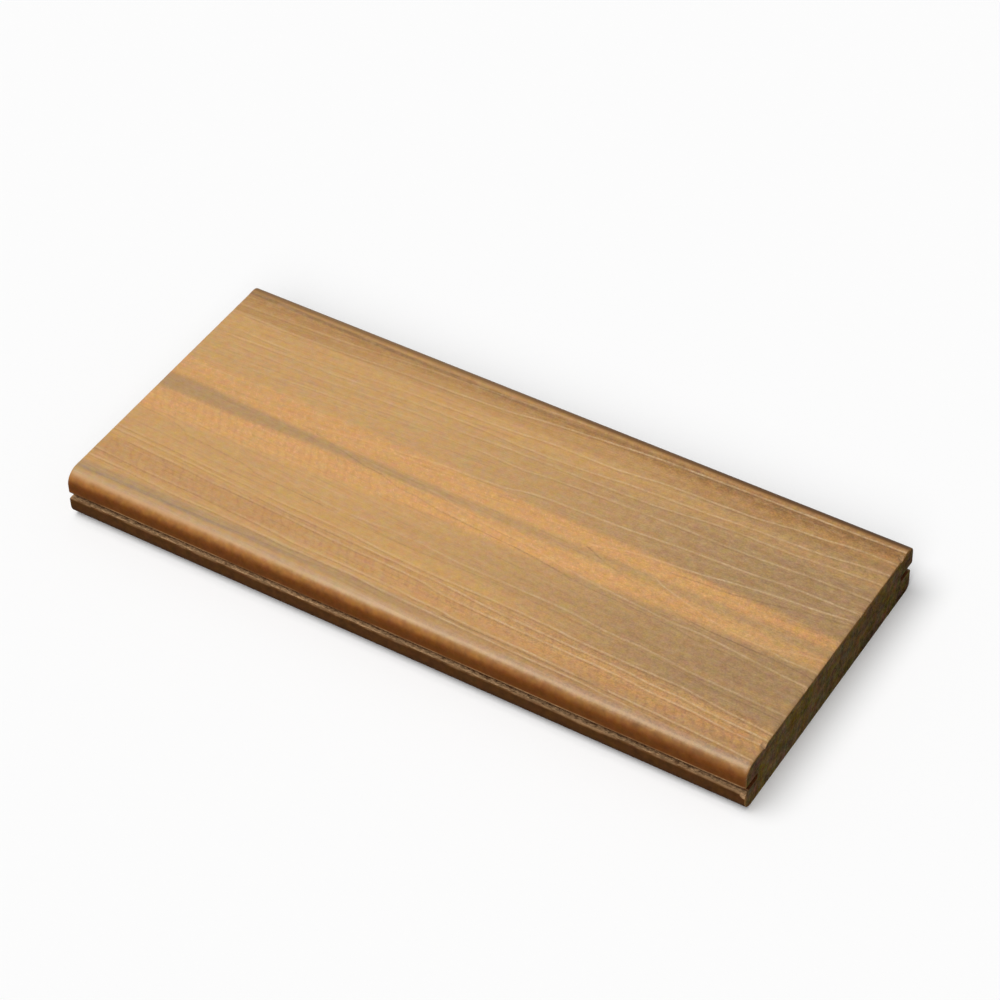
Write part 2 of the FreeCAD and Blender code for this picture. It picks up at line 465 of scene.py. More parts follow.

# The embossed grain lines: how strong the painted highlight on the groove's far shoulder is, how
# strong the painted shade in the groove, and the places, in millimetres along and across the
# board, that the groove runs through. A share that changes on the way is given as places along
# the board with the share at each.
GRAIN_LINES = (
    (0.7, 0.3, (-160, 54.5), (-119, 55.6), (-100, 56.6), (-80, 58.4), (-51, 60.2), (-32, 61.2),
     (0, 63.0), (23, 63.9)),
    (1.0, 0.4, (-160, 49.7), (-135, 49.3), (-103, 50.3), (-77, 51.9), (-42, 53.1), (-18, 54.5),
     (-9, 55.9), (9, 57.7), (35, 59.8), (44, 60.5), (60, 61.0)),
    (0.9, 1.0, (46, 60.6), (83, 61.6), (139, 62.4), (160, 63.0)),
    (0.8, 0.3, (-151, 40.3), (-124, 39.7), (-95, 41.2), (-78, 42.2), (-53, 43.5), (-17, 44.5),
     (9, 46.4), (32, 46.4), (59, 48.9), (97, 50.1), (117, 52.5), (128, 53.1), (142, 54.8),
     (160, 55.1)),
    (0.7, 0.3, (-154, 35.4), (-121, 36.5), (-99, 36.7), (-75, 38.0), (-37, 39.4), (0, 38.7),
     (26, 39.5), (44, 41.2), (81, 42.7), (97, 43.8), (133, 45.4), (143, 46.8), (160, 48.5)),
    (0.6, 0.3, (-144, 31.3), (-108, 31.3), (-71, 33.1), (-49, 34.0), (-37, 33.6), (-8, 34.8),
     (18, 35.0), (56, 35.7), (80, 38.0), (93, 39.0), (122, 39.6), (133, 40.4), (160, 42.1)),
    (0.6, 0.3, (-132, 21.3), (-110, 23.3), (-101, 24.1), (-63, 25.8), (-16, 27.7), (0, 27.0),
     (17, 28.5), (67, 30.0), (105, 30.3), (133, 31.6), (160, 32.3)),
    (0.8, 0.1, (-90.5, 4.4), (-86, 5.3), (-79, 6.5), (-63, 9.0), (-53, 9.8), (-30, 12.4),
     (0, 14.0), (14, 16.9), (20, 17.4), (52, 18.3), (83, 20.3), (112, 21.5), (131, 23.0),
     (160, 23.2)),
    (0.0, 0.3, (-37, 7.5), (-27, 9.6), (-18, 10.0), (0, 10.7), (18, 13.2), (31, 13.9),
     (58, 14.2)),
    (0.9, 0.0, (46.5, 2.7), (54, 5.1), (65, 8.0), (74, 9.2), (91, 10.7), (111, 13.7),
     (128, 15.7), (139, 16.4), (160, 18.7)),
    (0.0, 0.6, (83, 6.5), (102, 8.1), (110, 8.4), (116, 9.5), (130, 12.0), (139, 14.0),
     (160, 16.9)),
    (0.0, ((-90, 0.3), (-82, 0.7), (50, 0.6), (90, 0.4), (160, 0.6)), (-90.5, 4.9), (-80, 2.2), (-67, -0.8), (-56, -3.0), (-47, -4.0), (-37, -6.9),
     (-28, -7.5), (-18, -9.4), (0, -11.0), (28, -12.8), (42, -14.6), (59, -16.7), (83, -17.7),
     (94, -18.3), (104, -19.4), (111, -20.4), (124, -20.4), (144, -22.4), (160, -23.5)),
    (0.6, 0.0, (-27, -2.1), (-18, -3.0), (-10, -5.3), (9, -7.7), (30, -9.3), (34, -10.8),
     (59, -14.3), (74, -15.6), (93, -17.2), (99, -17.7), (105, -17.2), (139, -19.8),
     (160, -21.4)),
    (0.0, ((46, 1), (58, 0.8), (64, 0.35), (92, 0.3), (112, 0.8), (140, 1)), (46.3, 3.1), (50, 1.9), (56, -0.5), (60, -1.9), (76, -5.6), (89, -8.8),
     (99, -11.9), (113, -13.3), (144, -14.1), (160, -15.5)),
    (0.6, 0.0, (79, 1.2), (85, -1.9), (96, -5.0), (107, -7.7), (118, -10.1), (139, -11.4),
     (146, -12.8), (160, -12.7)),
    (0.5, 0.0, (136, -11.3), (142, -9.5), (148, -7.7), (160, -5.8)),
    (0.3, 0.0, (-152, -13.3), (-133, -15.6), (-116, -17.6), (-99, -21.0)),
    (0.0, ((-160, 0.5), (-90, 0.8), (-60, 0.6), (-40, 0.35), (110, 0.35), (160, 0.6)),
     (-160, -20.0), (-146, -20.7), (-134, -22.9), (-132, -24.7), (-116, -26.0),
     (-100, -27.5), (-96, -28.4), (-94, -29.5), (-63, -31.0), (-41, -33.2), (-12, -34.0),
     (20, -33.4), (50, -34.5), (74, -35.9), (100, -36.3), (122, -38.9), (160, -40.6)),
    (0.6, 0.0, (-91, -26.0), (-81, -26.5), (-71, -28.9), (-49, -30.5), (-33, -30.5),
     (-27, -29.7), (-12, -30.2), (9, -31.8), (59, -32.5), (79, -34.7), (93, -34.9),
     (118, -36.9), (133, -37.5), (160, -38.4)),
    (0.7, 0.5, (-160, -34.6), (-133, -35.7), (-106, -37.2), (-87, -37.9), (-76, -38.9),
     (-42, -39.6), (-30, -40.8), (-13, -41.9), (9, -42.6), (32, -42.6), (59, -43.5),
     (70, -44.4), (97, -45.1), (116, -45.2), (124, -45.9), (139, -47.6), (160, -49.1)),
    (0.8, 0.5, (-160, -37.0), (-140, -37.7), (-114, -39.0), (-94, -40.2), (-78, -41.5),
     (-68, -42.3), (-49, -42.8), (-28, -43.6), (9, -45.0), (32, -47.0), (65, -48.2),
     (97, -49.1), (106, -50.0), (120, -50.2), (130, -51.2), (160, -52.7)),
    (0.8, 0.5, (-150, -40.9), (-122, -42.2), (-107, -43.5), (-92, -43.9), (-63, -45.3),
     (-30, -47.0), (-19, -47.1), (2, -48.2), (9, -49.6), (21, -50.5), (65, -51.8),
     (97, -52.6), (106, -53.5), (130, -54.4), (142, -55.5), (160, -56.1)),
    (0.8, 0.6, (-160, -50.7), (-149, -51.2), (-133, -51.9), (-107, -52.5), (-87, -53.4),
     (-68, -54.5), (-56, -55.5), (-25, -56.0), (-8, -56.6), (5, -57.6), (17, -57.9),
     (22, -58.8), (60, -59.6), (89, -61.0), (112, -62.0), (139, -63.2), (160, -64.6)),
    (0.8, 0.6, (-160, -55.3), (-141, -55.5), (-126, -56.6), (-106, -57.5), (-95, -57.4),
     (-70, -58.2), (-57, -58.9), (-27, -58.9), (-13, -60.1), (9, -60.8), (32, -61.7),
     (57, -62.4), (82, -62.8), (93, -63.8), (118, -65.1), (143, -66.9)),
    (0.0, 0.9, (15, -58.8), (30, -59.5), (46, -59.6), (75, -60.4), (95, -60.7)),
    (0.0, 0.35, (-160, -62.6), (-133, -62.6), (-106, -62.0), (-70, -61.3), (-42, -60.9),
     (-21, -60.2), (-6, -60.8), (9, -61.3), (32, -62.2), (50, -62.6)),
)


def follow(along, knots):
    """The level, at each point along the board, of a smooth line through its knots."""
    at, level = np.transpose(knots)
    steps = np.diff(level) / np.diff(at)
    before, after = steps[:-1], steps[1:]
    onward = before * after > 0
    # Gentle slopes at the knots keep the line from swinging past them.
    inner = 2 * before * after * onward / np.where(onward, before + after, 1)
    slope = np.concatenate((steps[:1], inner, steps[-1:]))
    left = np.clip(np.searchsorted(at, along) - 1, 0, len(at) - 2)
    span = at[left + 1] - at[left]
    share = np.clip((along - at[left]) / span, 0, 1)
    bulge = span * share * (1 - share)
    bulge = bulge * (slope[left] * (1 - share) - slope[left + 1] * share)
    eased = share * share * (3 - 2 * share)
    # The cubic through two knots: an eased step, corrected for the slope at either end.
    return level[left] + (level[left + 1] - level[left]) * eased + bulge


# How far the burr under the near upper lip stands out, at places along the board.
BURR = ((-144, 0.2), (-137, 1), (-112, 0.8), (-84, 0.8), (-78, 0.25), (-60, 0.25), (-56, 0.7),
        (-49, 0.6), (-45, 0.2), (-9, 0.25), (-6, 0.9), (3, 0.9), (7, 0.3), (10, 0.8), (23, 0.8),
        (27, 0.3), (34, 0.8), (45, 0.8), (50, 0.35), (54, 1), (92, 1), (98, 0.5), (124, 0.5),
        (130, 1), (158, 1))

GROOVE_REACH = 1.6      # how far from a groove's bottom its shoulders are drawn, in millimetres


def grain_lines(along, across, sizes):
    """Each point's signed gap from its nearest groove; its line's painted highlight and shade."""
    gap = np.full(along.shape, GROOVE_REACH)
    pale, dark = (np.zeros(along.shape) for _ in range(2))
    for number, (highlight_share, shade_share, *knots) in enumerate(GRAIN_LINES):
        seed = sizes.seed + number
        start, stop = knots[0][0], knots[-1][0]
        shown = np.clip(0.82 + 0.3 * waver(along, seed + 50, 44), 0.45, 1)
        highlight_share, shade_share = (
            np.interp(along, *np.transpose(share)) if isinstance(share, tuple) else share
            for share in (highlight_share, shade_share))
        if start > -159:
            shown = shown * ease(along, start - 0.5, start + 3)
        if stop < 159:
            shown = shown * ease(along, stop, stop - 12)
        beyond = across - follow(along, knots) - waver(along, seed + 9, 15) * 0.08
        nearest = (np.abs(beyond) < np.abs(gap)) & (shown > 0)
        gap = np.where(nearest, beyond, gap)
        pale = np.where(nearest, shown * highlight_share, pale)
        dark = np.where(nearest, shown * shade_share * (0.6 + 0.4 * ease(along, -90, 60)), dark)
    return gap, pale, dark


def lay_relief(board, sizes):
    """Press in the grain lines, roughen the lips and wear the sawn rims, all inwards."""
    mesh = board.data
    count = len(mesh.vertices)
    flat = np.empty(count * 3)
    mesh.vertices.foreach_get("co", flat)
    points = flat.reshape(count, 3) / MM
    along, across, up = points.T.copy()
    half = CAD_SIZE.y / 2 / MM
    top = CAD_SIZE.z / MM
    end = CAD_SIZE.x / 2 / MM
    floor = sizes.lower_lip / MM
    roof = floor + sizes.groove_height / MM
    arris = sizes.near_arris / MM

    on_face = ease(up, top - 0.35, top - 0.02)
    on_face = on_face * ease(across, -half + arris - 2.2, -half + arris + 0.3)
    gap, pale, dark = grain_lines(along, across, sizes)
    pale, dark = pale * on_face, dark * on_face
    deep = ease(np.abs(gap), sizes.grain_width / MM / 2, 0) * np.maximum(pale, dark)
    sunk = deep * sizes.grain_depth / MM
    # The gap is carried as an angle, so that it stays true between the mesh's corners.
    turn = math.pi * gap / GROOVE_REACH

    # Orange peel of the embossing roller: shallow, broad and only downwards.
    peel = 0.5 + 0.5 * np.sin(along * 0.21 + np.sin(across * 0.34) * 1.7) * np.sin(across * 0.27)
    sunk = sunk + 0.03 * peel * on_face
    points[:, 2] -= np.where(up > top - 1.0, sunk, 0)

    # The near flank stands 0.15 mm in, so that the burr along its lower corner can stand out.
    near = across < -half + 0.7
    upper = near & (up > roof - 0.1) & (up < top - arris + 3)
    burr = np.exp(-((up - roof - 0.9) / 0.24) ** 2) * np.interp(along, *np.transpose(BURR))
    inward = 0.16 * (1 - ease(up, top - arris, top - arris + 3)) * (1 - burr)
    points[:, 1] += np.where(upper, inward, 0)

    # The lower lip's top corner is torn by the groove cutter.
    tear = -0.3 + 0.25 * waver(along, sizes.seed + 5, 31) + 0.2 * waver(along, sizes.seed + 6, 7)
    tear = tear + 0.3 * ease(along, 131, 136) + 0.6 * np.exp(-((along - 88) / 16) ** 2)
    lip = near & (up < floor + 0.1) & (up > floor - 3.4)
    drop = floor - up
    wear_and_arris_shade = lip * (1 - ease(drop, tear, tear + 0.5))
    points[:, 1] += wear_and_arris_shade * (0.15 + 0.45 * (1 - drop / 3.4))
    torn = np.maximum(wear_and_arris_shade * 0.6, burr * upper * (up < roof + 1.6))

    # Sawn ends: the top rim crumbles over the last millimetres, with a few larger chips.
    chips = ((1, -54.5, 1.6, 1.5), (1, 60.0, 1.7, 1.3), (1, 24.0, 1.6, 0.5),
             (1, -22.0, 1.9, 0.4))
    rough = 0.5 + 0.3 * waver(across, sizes.seed + 9, 13) + 0.3 * waver(across, sizes.seed + 10, 3.4)
    # Outwards from the walking face, round both arrises and on down the upper flanks.
    core_across = np.clip(across, -half + arris, half - sizes.far_arris / MM)
    core_up = np.minimum(up, np.where(across < 0, top - arris, top - sizes.far_arris / MM))
    out_across, out_up = across - core_across, up - core_up
    reach = np.hypot(out_across, out_up)
    outer = (up > roof + 0.3) & (reach > 0.9 * np.where(across < 0, arris, sizes.far_arris / MM))
    outer = outer | (up > top - 1.0)
    reach = np.maximum(reach, 0.01)
    for sign in (-1, 1):
        depth = np.clip(end - sign * along, 0, None)
        rim = np.exp(-depth / 0.5) * outer * (1.0 if sign > 0 else 0.3)
        rim = rim * (1 - 0.85 * ease(across, 61, 63.5))
        sunk = rim * (0.3 + 0.45 * np.clip(rough, 0, 1))
        torn = np.maximum(torn, np.exp(-depth / 0.3) * outer * 0.2)
        for chip_end, place, width, bite in chips:
            if chip_end == sign:
                gap = np.hypot((across - place) / width, depth / 1.8)
                hollow = np.clip(1 - gap * gap, 0, 1) * outer
                sunk = sunk + hollow * bite
                torn = np.maximum(torn, ease(hollow, 0.0, 0.25) * 0.7)
        points[:, 1] -= np.where(outer, sunk * out_across / reach, 0)
        points[:, 2] -= np.where(outer, sunk * out_up / reach, 0)

    # A chip off the near lower lip where the saw came through at the right end.
    gap = np.sqrt(((end - along) / 2.4) ** 2 + ((up - floor) / 2.6) ** 2)
    hollow = np.clip(1 - gap * gap, 0, 1) * near * (up < floor + 0.1)
    points[:, 1] += hollow * 0.9
    points[:, 2] -= np.where(up > floor - 0.5, hollow * 0.7, 0)
    torn = np.maximum(torn, ease(hollow, 0.0, 0.25))

    mesh.vertices.foreach_set("co", (points * MM).ravel())
    # The first two carry each grain line's painted highlight and painted shade to the cap's finish.
    for name, values in (("grain_pale", pale), ("grain_dark", dark), ("torn", torn),
                         ("groove_sine", np.sin(turn)), ("groove_cosine", np.cos(turn))):
        layer = mesh.attributes.new(name, "FLOAT", "POINT")
        layer.data.foreach_set("value", np.clip(values, -1, 1).astype(np.float32))
    mesh.update()


def share_finishes(board, sizes):
    """Give each face the finish of its region, by where its middle lies before the wear."""
    mesh = board.data
    half = CAD_SIZE.y / 2
    back = half - sizes.groove_depth
    floor = sizes.lower_lip
    roof = floor + sizes.groove_height
    for face in mesh.polygons:
        centre, normal = face.center, face.normal
        if abs(normal.x) > 0.9:
            face.material_index = 2
        elif abs(centre.y) > back - 0.1 * MM and floor - 0.01 * MM < centre.z < roof + 0.01 * MM:
            face.material_index = 1
        elif normal.z < -0.95 and centre.z < 1 * MM:
            face.material_index = 3
        else:
            face.material_index = 0


# Finishes


def streaked_cap(colours):
    """The walking face, arrises and edges: streaked, embossed and slightly glossy."""
    cap = Finish("streaked_cap")
    point, along, across, up = cap.place()
    wander = cap.noise(point, (90, 26, 60), 2) * 1.6 + cap.noise(point, (24, 7, 30), 2) * 0.5
    line = across + wander

    def streak(near, far, soft=1.6, drift=0.0):
        """A streak between two distances from the middle, which may drift along the board."""
        level = line - along * drift if drift else line
        return level.ramp(near - soft, near + soft) * level.ramp(far + soft, far - soft)

    flow = cap.node("ShaderNodeCombineXYZ", values={
        "X": along, "Y": abs(across - HEART_ACROSS) - along * 0.05, "Z": up}.items())
    grain = cap.noise(flow, (38, 1.0, 8), 3, 0.6)
    motley = cap.node("ShaderNodeMapping", {"vector_type": "TEXTURE"},
                      {"Vector": point, "Scale": (4.2, 3.4, 4)}.items())
    motley = cap.node("ShaderNodeTexNoise", values={
        "Vector": motley, "Scale": 1.0, "Detail": 4, "Roughness": 0.75}.items(), output=1)
    motley = cap.node("ShaderNodeVectorMath", {"operation": "MULTIPLY_ADD"}, {
        0: motley, 1: (0.18, 0.52, 1.44), 2: (0.91, 0.74, 0.28)}.items())
    fibre = cap.noise(flow, (6, 0.35, 3), 2, 0.6)
    speck = cap.noise(point, (1.0, 0.8, 0.8), 4, 0.8)
    cloud = cap.noise(point, (3.6, 2.8, 4), 2, 0.6)
    tint = cap.noise(point, (5.5, 2.6, 5), 3, 0.65, seed=40)
    patch = cap.noise(point, (34, 9, 20), 2)
    slanted = cap.node("ShaderNodeMapping", {"vector_type": "POINT"},
                       {"Vector": point, "Rotation": (0, 0, math.radians(42))}.items())
    mottle = cap.noise(slanted, (4.2, 2.4, 3), 3, 0.6)
    turns = (along + across * 0.5) * (math.tau / 4.2) + cap.noise(point, (9, 6, 6), 2) * 5.0
    weave = turns.math("SINE", turns).ramp(0.1, 1.0)

    shade = cap.tone(colours.tan, 1.0)

    def lay(amount, hue):
        return cap.mix(amount, shade, hue)

    darker = along.ramp(-70, 142)
    shade = lay(streak(6, 41, 5) * darker * (0.9 + patch * 0.15), colours.olive)
    shade = lay(streak(38, 53, 4) * along.ramp(-20, 150) * 0.8, colours.olive)
    shade = lay(streak(-36, -13.5, 3, 0.015) * darker * (0.9 + patch * 0.15), colours.olive)
    shade = lay(streak(-48, -34, 3) * along.ramp(-10, 125), colours.olive)
    shade = lay(streak(38, 48, 3) * (0.3 + patch * 0.2), colours.honey)
    shade = lay(streak(-43, -34, 2) * (0.4 - along.ramp(0, 110) * 0.34), colours.honey)

    peach_far = streak(1.2, 100, 2.6) * (line + along * 0.03).ramp(16.5, 9)
    peach_near = streak(-100, -3.5, 2.6) * (line - along * 0.035).ramp(-18, -11)
    peach_near = peach_near * (1.0 - along.ramp(70, 150) * 0.35)
    peach = (peach_far + peach_near).ramp(0.0, 1.1) * (0.72 + along.ramp(-170, -60) * 0.2
                                                        + patch * 0.12)
    shade = lay(peach, colours.peach)
    centre = along.ramp(-60, 110) * 1.3 + along.ramp(-110, -150) * 0.8 - 1.5
    heart = abs(line - centre) + along.ramp(-160, -60) * 1.7 - along.ramp(-70, -130) * 0.9
    heart = heart.ramp(5.6, 2.4) * (0.64 - along.ramp(-120, 60) * 0.3)
    heart = heart + streak(-15.4, -13.2, 0.9) * along.ramp(-90, -60) * along.ramp(60, 20) * 0.12
    shade = lay(heart * (1.0 + patch * 0.1), colours.heart)
    lively = 1.0 - heart

    russet = streak(-55, -43, 2.0, -0.012) * (0.45 + mottle * 0.35 + patch * 0.15
                                              - along.ramp(0, 150) * 0.12)
    shade = lay(russet, colours.russet)
    shade = lay(streak(-67.5, -54, 1.5) * along.ramp(-60, 90) * 0.7, colours.russet)
    olive_edge = streak(-63.8, -58.7, 1.3) * (along.ramp(70, -60) * 0.55 + 0.36)
    shade = lay(olive_edge * (0.6 + patch * 0.2), colours.slate)
    smudge = streak(-63.3, -61.7, 0.7) * along.ramp(0, -120) * (0.36 + mottle * 0.45)
    shade = lay(smudge, colours.bruise)
    brown = streak(56.5, 64.5, 3) * (0.5 + along.ramp(-60, 150) * 0.36 + patch * 0.15)
    shade = lay(brown, colours.umber)
    shade = lay(streak(50, 56, 1.6) * (0.4 - along.ramp(-120, -70) * 0.15
                                       + along.ramp(30, 90) * 0.12), colours.umber)
    steady = across + wander * 0.25
    # The far arris, laid in dark brown further on: partly its own colour, partly painted shade where
    # it turns away from the lamps.
    far_rim = steady.ramp(63.7, 66.2) * (0.7 + along.ramp(-140, 120) * 0.3)
    dim = abs(steady + along * 0.014 - 61.4).ramp(1.6, 0.3) * (along.ramp(50, -30) * 0.5
                                                              + along.ramp(-40, -90) * 0.15)
    dim = dim + abs(steady - 62.2).ramp(1.6, 0.4) * along.ramp(5, 30) * along.ramp(85, 55) * 0.35
    dim = dim + abs(steady - 60.8).ramp(1.4, 0.3) * along.ramp(50, 85) * 0.3
    shade = lay(dim, colours.dark_grain_and_groove_shade)

    flecks = mottle.ramp(-0.08, 0.3) * (russet * 0.8 + peach * 0.34 + brown * 0.5 + 0.1)
    shade = lay(flecks * lively * 0.5, colours.fleck)
    woven = russet * 0.9 + peach_near * along.ramp(60, -60) * 0.35 + streak(59.5, 64.5, 1) * 0.5
    woven = woven + streak(-60.5, -56.5, 0.8) * along.ramp(60, 110) * 1.2
    shade = lay(weave * woven * 0.42, colours.fleck)
    shade = lay(tint.ramp(-0.12, 0.35) * (0.3 + streak(14, 40, 5) * 0.2), colours.khaki)
    glints = cap.noise(slanted, (2.6, 1.5, 2), 3, 0.7, seed=60).ramp(0.05, 0.35)
    shade = lay(glints * peach * lively * 0.62, colours.salmon)

    beads = cap.noise(flow, (1.6, 1.0, 2), 3, 0.8).ramp(-0.22, 0.25)
    harsh = 0.1 + along.ramp(-60, 130) * 0.4 + brown * 0.4 + russet * (
        0.1 + along.ramp(-40, 60) * 0.6)
    gain = 1.0 + grain * 0.1 + fibre * 0.06 + speck * harsh + mottle * (0.05 + brown * 0.3)
    gain = gain + cloud * (0.08 + harsh * 0.3 + streak(42, 66, 4) * along.ramp(20, 120) * 0.12)
    gain = gain + mottle * (russet + peach * 0.5) * (0.12 + along.ramp(0, 90) * 0.1)
    gain = gain - along.ramp(20, 170) * 0.07 - along.ramp(115, 160) * 0.02
    gain = gain + streak(-58, -42, 2) * along.ramp(-90, 0) * 0.05
    gain = gain + streak(-14, -7, 2) * along.ramp(70, 20) * 0.04 + streak(-22, -14, 2) * 0.04
    gain = gain - streak(-10, 9, 2) * (along.ramp(110, 150) + along.ramp(-110, -150) * 0.8) * 0.05
    gain = gain - streak(-54, -46, 2) * along.ramp(110, 150) * 0.05
    # Darker over the near arris and more so on its upper part: painted shade, which narrows the
    # arris's highlight and moves it lower.
    gain = gain - across.ramp(-62.0, -65.5) * (0.17 + along.ramp(-40, 110) * 0.06)
    gain = gain - up.ramp(23.75, 23.4) * up.ramp(22.7, 23.1) * across.ramp(0, -1) * 0.09
    shade = cap.tone(shade, gain)
    shade = cap.node("ShaderNodeVectorMath", {"operation": "MULTIPLY"},
                     {0: shade, 1: motley}.items())
    shade = lay(grain.ramp(0.12, 0.42) * 0.1, colours.pale_grain_and_highlight)
    shade = lay(grain.ramp(-0.12, -0.42) * 0.12, colours.dark_grain_and_groove_shade)
    # Each grain line: painted shade in its groove's bottom and a painted highlight on its far
    # shoulder, both broken into beads.
    sine = cap.attribute("groove_sine")
    gap = sine.math("ARCTAN2", sine, cap.attribute("groove_cosine")) * (GROOVE_REACH / math.pi)
    bottom = abs(gap).ramp(0.75, 0.0) * cap.attribute("grain_dark")
    shoulder = abs(gap - 0.75).ramp(0.68, 0.0) * cap.attribute("grain_pale")
    highlight_breaks = cap.noise(point, (10, 3, 5), 3, 0.7, seed=80).ramp(-0.35, 0.2) * 0.35 + 0.65
    shade = lay(bottom * (beads * 0.5 + 0.25), colours.dark_grain_and_groove_shade)
    shown = (beads * 0.65 + 0.35) * highlight_breaks * (0.36 + along.ramp(-90, 80) * 0.54)
    shade = lay(shoulder * shown, cap.mix(peach * 0.8, colours.pale_grain_and_highlight, colours.salmon))
    grit = cap.noise(point, (1.1, 0.9, 0.9), 2, 0.6, seed=120)
    shade = lay(grit.ramp(0.34, 0.6) * 0.34, colours.pale_grain_and_highlight)
    shade = lay(grit.ramp(-0.34, -0.6) * 0.34, colours.dark_grain_and_groove_shade)
    # Darkest at the very edge of the far arris: painted shade.
    outer = across.ramp(64.5, 67.5) * (0.28 + along.ramp(60, 150) * 0.18)
    shade = lay(far_rim, cap.tone(colours.dusk, 1.0 + grain * 0.3 - outer))
    # Painted highlight: a pale band along the near arris, where it catches the lamps.
    arris_highlight = up.ramp(23.3, 22.8) * up.ramp(21.9, 22.5) * along.ramp(-90, 10)
    shade = lay(arris_highlight * across.ramp(0, -1) * 0.22, colours.pale_grain_and_highlight)
    warm = up.ramp(23.4, 22.6) * across.ramp(0, -1) * along.ramp(-30, -110)
    shade = lay(warm * 0.6, colours.russet)
    # Down the near arris the cap turns orange-brown, then dark brown on the flank: partly the cap's
    # own darker edges, partly painted shade as the arris turns away from the overhead lamp. Below
    # the groove it is darker still.
    height = up + patch * 0.8 + cloud * 0.6
    wear_and_arris_shade = 0.96 + cloud * 0.3 + mottle * 0.2 - along.ramp(0, 120) * 0.26
    wear_and_arris_shade = cap.node("ShaderNodeVectorMath", {"operation": "MULTIPLY"},
                    {0: cap.tone(colours.ember, wear_and_arris_shade), 1: motley}.items())
    shade = lay(height.ramp(22.7, 21.1), wear_and_arris_shade)
    low = up.ramp(13.0, 10.5)
    darker = 1.0 + cloud * 0.3 + mottle * 0.15 + speck * 0.25 - low * 0.4
    edge = cap.node("ShaderNodeVectorMath", {"operation": "MULTIPLY"},
                    {0: cap.tone(cap.mix(low * 0.6, colours.flank, colours.dusk), darker),
                     1: motley}.items())
    shade = lay(height.ramp(21.4, 19.0), edge)
    torn = cap.attribute("torn")
    shade = lay(torn, cap.tone(colours.milled, 1.0 + speck * 0.8 + fibre * 0.6))

    embossed = up.ramp(22.6, 23.5)
    height = cap.noise(point, (1.3, 0.9, 1.2), 3, 0.65) + fibre * 0.4
    relief = cap.bump(height * (0.2 + embossed * 0.8) - bottom * 1.2, 0.06 * MM)
    relief = cap.bump(speck * torn, 0.25 * MM, relief)
    rough = 0.52 + embossed * 0.06 + speck * 0.04 + torn * 0.3
    gloss = (up.ramp(18.4, 22.6) * 0.87 + 0.08) * (1.0 - torn) * (1.0 - far_rim * 0.6)
    return cap.surface(Base_Color=shade, Roughness=rough, Normal=relief,
                       Specular_IOR_Level=0.0, Coat_Weight=gloss, Coat_Roughness=0.4)


def milled_groove(colours):
    """Rough core laid bare by the groove cutter, with its fine tool ripple."""
    milled = Finish("milled_groove")
    point, along, across, up = milled.place()
    fuzz = milled.noise(point, (1.7, 0.8, 0.8), 3, 0.75)
    ripple = milled.noise(point, (0.9, 12, 12), 1)
    # Pale rough core at the mouth of the groove and dark deeper in: the dark is painted shade inside
    # the groove. The dark pits are the core's own.
    mouth = (abs(across) + fuzz * 1.6).ramp(66.2, 68.6)
    shade = milled.mix(mouth, colours.slot, colours.milled)
    shade = milled.tone(shade, 1.02 + fuzz * 1.4 + ripple * 0.2 - along.ramp(-60, 80) * 0.2
                        - along.ramp(-95, -125) * 0.16)
    pits = milled.noise(point, (3.4, 1.3, 1.2), 3, 0.7, seed=30).ramp(0.0, 0.3)
    shade = milled.mix(pits * 0.5, shade, colours.slot)
    relief = milled.bump(fuzz + ripple * 0.3, 0.14 * MM)
    return milled.surface(Base_Color=shade, Roughness=0.85, Normal=relief,
                          Specular_IOR_Level=0.05)


def sawn_end(colours):
    """The sawn core: dark, mottled, faintly ribbed by the saw, with the paler cap at its rim."""
    sawn = Finish("sawn_end")
    point, along, across, up = sawn.place()
    mottle = sawn.noise(point, (9, 6, 4), 3, 0.6)
    pits = sawn.noise(point, (0.9, 0.9, 0.9), 3, 0.7)
    tilted = sawn.node("ShaderNodeMapping", {"vector_type": "POINT"},
                       {"Vector": point, "Rotation": (math.radians(12), 0, 0)}.items())
    ribs = sawn.noise(tilted, (20, 0.8, 30), 1)
    gain = 1.3 + mottle * 1.3 + pits * 1.4 + ribs * 0.6 - across.ramp(-40, 60) * 0.18
    gain = gain + up.ramp(16.5, 21.5) * 0.2 - up.ramp(8, 0) * across.ramp(-30, 20) * 0.38
    motley = sawn.node("ShaderNodeMapping", {"vector_type": "TEXTURE"},
                       {"Vector": point, "Scale": (5, 5, 5)}.items())
    motley = sawn.node("ShaderNodeTexNoise", values={
        "Vector": motley, "Scale": 1.0, "Detail": 4, "Roughness": 0.75}.items(), output=1)
    motley = sawn.node("ShaderNodeVectorMath", {"operation": "MULTIPLY_ADD"}, {
        0: motley, 1: (1.6, 1.4, 4.4), 2: (0.2, 0.28, -1.2)}.items())
    shade = sawn.node("ShaderNodeVectorMath", {"operation": "MULTIPLY"},
                      {0: sawn.tone(colours.core, gain), 1: motley}.items())
    rusty = sawn.noise(point, (5, 5, 4), 3, 0.6, seed=20).ramp(0.05, 0.4)
    shade = sawn.mix(rusty * 0.4, shade, colours.slot)
    radius = 6.0
    out = -across - (CAD_SIZE.y / 2 / MM - radius)
    over = up - (CAD_SIZE.z / MM - radius)
    out, over = (part.math("MAXIMUM", part, 0.0) for part in (out, over))
    skin = (out * out + over * over).math("SQRT", out * out + over * over)
    skin = skin + pits * 0.9 + across.ramp(0, 24) * 0.3
    shade = sawn.mix(skin.ramp(radius - 2.0, radius - 0.5), shade, colours.peach)
    relief = sawn.bump(pits + ribs * 0.6, 0.12 * MM)
    return sawn.surface(Base_Color=shade, Roughness=0.9, Normal=relief,
                        Specular_IOR_Level=0.03)


